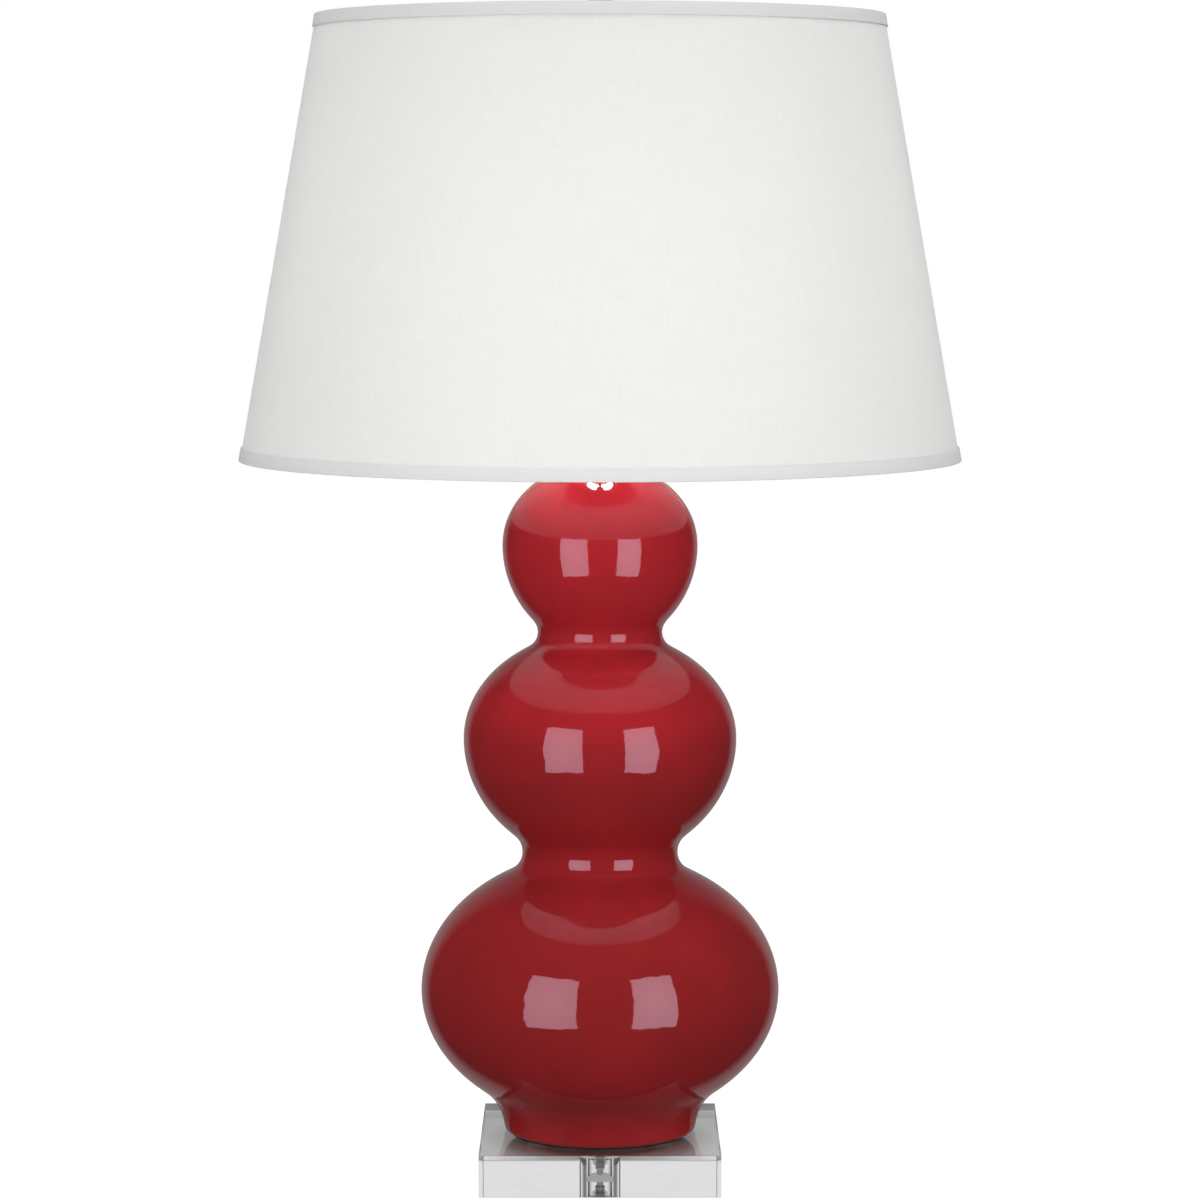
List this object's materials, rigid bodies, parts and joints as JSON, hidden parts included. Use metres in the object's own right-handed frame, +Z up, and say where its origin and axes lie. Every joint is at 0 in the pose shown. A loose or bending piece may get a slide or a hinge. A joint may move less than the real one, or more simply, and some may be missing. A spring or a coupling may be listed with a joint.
{
  "type": "table lamp",
  "caption": "Table lamp with a glossy gourd-shaped ceramic body of stacked lobes on a clear square block, under a tapered white linen drum shade held by a harp.",
  "frame": {"origin": "centre of the acrylic block's underside, on the table", "axes": "+Z up along the lamp's axis, -Y to the front, +X to the lamp's right as the picture shows it"},
  "size_m": [0.5077, 0.5078, 0.8372],
  "materials": {
    "clear_acrylic": "polished",
    "ruby_glaze": "high gloss glaze",
    "dark_rubber": "matte",
    "zinc_steel": "zinc plated",
    "grey_plastic": "moulded",
    "polished_nickel": "polished",
    "brass": "satin",
    "aluminium": "rolled",
    "black_phenolic": "moulded",
    "fibre_liner": "pressed fibre",
    "white_linen": "plain weave",
    "linen_binding": "folded plain weave",
    "white_lining": "translucent sheet",
    "white_wire": "powder coat",
    "frosted_glass": "frosted",
    "dark_glass": "fused"
  },
  "bodies": {
    "lamp": {"base_block": "clear_acrylic", "foot_gasket": "dark_rubber", "gourd_body": "ruby_glaze", "lamp_pipe": "zinc_steel", "base_washer": "zinc_steel", "base_nut": "zinc_steel", "cord_sleeve": "grey_plastic", "vase_cap": "polished_nickel", "lamp_neck": "polished_nickel", "body_lock_nut": "zinc_steel", "harp_saddle": "polished_nickel", "socket_cap": "polished_nickel", "socket_set_screw": "zinc_steel", "socket_shell": "polished_nickel", "socket_liner": "fibre_liner", "switch_body": "black_phenolic", "terminal_screws": "brass", "screw_shell": "aluminium", "centre_contact": "brass", "harp": "polished_nickel", "harp_stud": "polished_nickel"},
    "switch": {"switch_stem": "brass", "switch_knob": "black_phenolic"},
    "left_sleeve": {"harp_sleeve_left": "polished_nickel"},
    "right_sleeve": {"harp_sleeve_right": "polished_nickel"},
    "bulb": {"bulb_contact": "brass", "bulb_insulator": "dark_glass", "bulb_screw_cap": "aluminium", "bulb_glass": "frosted_glass"},
    "shade": {"shade_fabric": "white_linen", "shade_lining": "white_lining", "shade_top_trim": "linen_binding", "shade_bottom_trim": "linen_binding", "shade_top_ring": "white_wire", "shade_bottom_ring": "white_wire", "spider_hub": "polished_nickel", "spider_arms": "white_wire"},
    "finial": {"finial": "polished_nickel"}
  },
  "joints": [
    {"name": "switch_turn", "type": "hinge", "parent": "lamp", "child": "switch", "pos_m": [0, 0, 0.56675], "axis": [0, -1, 0], "continuous": true},
    {"name": "left_sleeve_lift", "type": "slide", "parent": "lamp", "child": "left_sleeve", "axis": [0, 0, 1], "range_m": [0, 0.015]},
    {"name": "right_sleeve_lift", "type": "slide", "parent": "lamp", "child": "right_sleeve", "axis": [0, 0, 1], "range_m": [0, 0.015]},
    {"name": "bulb_turn", "type": "hinge", "parent": "lamp", "child": "bulb", "pos_m": [0, 0, 0.58], "axis": [0, 0, 1], "continuous": true},
    {"name": "shade_turn", "type": "hinge", "parent": "lamp", "child": "shade", "pos_m": [0, 0, 0.81], "axis": [0, 0, 1], "continuous": true},
    {"name": "finial_turn", "type": "hinge", "parent": "lamp", "child": "finial", "pos_m": [0, 0, 0.82], "axis": [0, 0, 1], "continuous": true}
  ]
}
